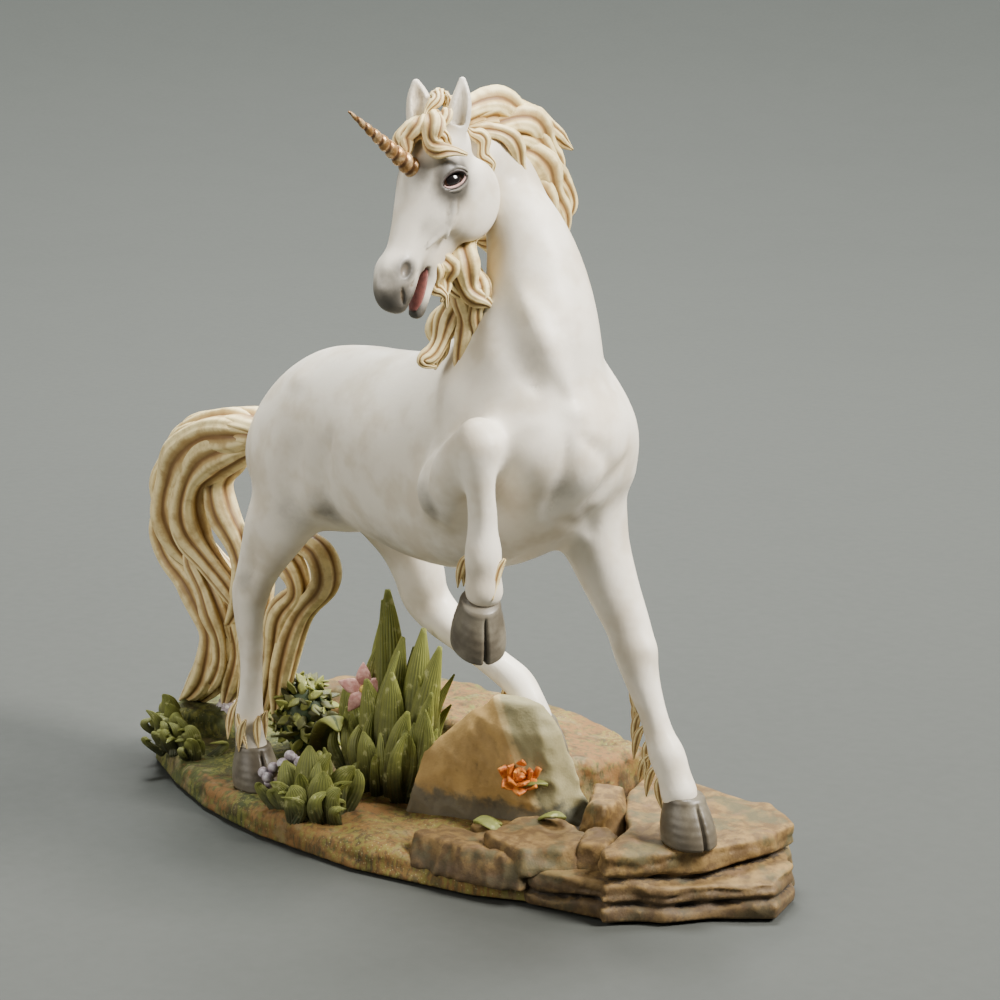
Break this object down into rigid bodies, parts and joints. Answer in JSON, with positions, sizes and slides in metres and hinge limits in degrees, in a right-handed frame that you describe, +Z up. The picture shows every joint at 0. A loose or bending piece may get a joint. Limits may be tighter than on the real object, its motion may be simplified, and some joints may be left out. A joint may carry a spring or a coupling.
{
  "type": "unicorn figurine",
  "caption": "Free-standing painted resin unicorn with a spiral horn, flowing mane and tail and one raised foreleg, striding over a rocky base with grass and flowers",
  "frame": {"origin": "on the table under the middle of the base, at the centre of the middle felt pad", "axes": "+X is the way the horse heads, +Y its left side, +Z up"},
  "size_m": [0.2686, 0.1431, 0.2501],
  "materials": {
    "coat": "satin painted resin, ivory white",
    "hoof": "satin painted resin, warm grey",
    "hair": "painted resin, cream washed with tan",
    "horn": "gold metallic paint",
    "eye": "glossy black",
    "tongue": "pink paint",
    "rock": "ochre painted resin rock",
    "earth": "painted resin earth and moss",
    "foliage": "green painted resin",
    "lily": "pink painted resin",
    "rose": "orange painted resin",
    "lilac": "lilac painted resin",
    "yellow": "yellow painted resin",
    "felt": "black felt",
    "steel": "drawn steel wire"
  },
  "bodies": {
    "root": {"arched_leaf": "foliage", "bank_grass": "foliage", "base_slab": "earth", "beard": "hair", "block_stone": "rock", "body_pins": "steel", "boulder": "rock", "bush": "foliage", "eyes": "eye", "felt_pads": "felt", "fetlock_feathers": "hair", "flat_stone": "rock", "front_stone": "rock", "front_tuft": "foliage", "head": "coat", "horn": "horn", "horn_pin": "steel", "left_bank": "earth", "left_ear": "coat", "left_fore_hoof": "hoof", "left_fore_leg": "coat", "left_forelock": "hair", "left_hind_hoof": "hoof", "left_hind_leg": "coat", "leg_pins": "steel", "lilac_berries": "lilac", "lilac_blossom": "lilac", "lower_jaw": "coat", "lower_ledge": "rock", "mane_crown_lock": "hair", "mane_lower_lock": "hair", "mane_middle_lock": "hair", "mane_near_lock": "hair", "mane_shoulder_lock": "hair", "mane_throat_lock": "hair", "mane_upper_lock": "hair", "neck": "coat", "orange_rose": "rose", "pink_lily": "lily", "rear_mound": "earth", "right_cannon": "coat", "right_ear": "coat", "right_fore_hoof": "hoof", "right_forearm": "coat", "right_forelock": "hair", "right_hind_hoof": "hoof", "right_hind_leg": "coat", "rim_stone": "rock", "rose_leaves": "foliage", "tail_crown": "hair", "tail_forward_lobe": "hair", "tail_inner_fall": "hair", "tail_middle_fall": "hair", "tail_outer_fall": "hair", "tall_grass": "foliage", "tongue": "tongue", "torso": "coat", "upper_ledge": "rock", "wedge_stone": "rock", "yellow_flower": "yellow"}
  },
  "joints": []
}
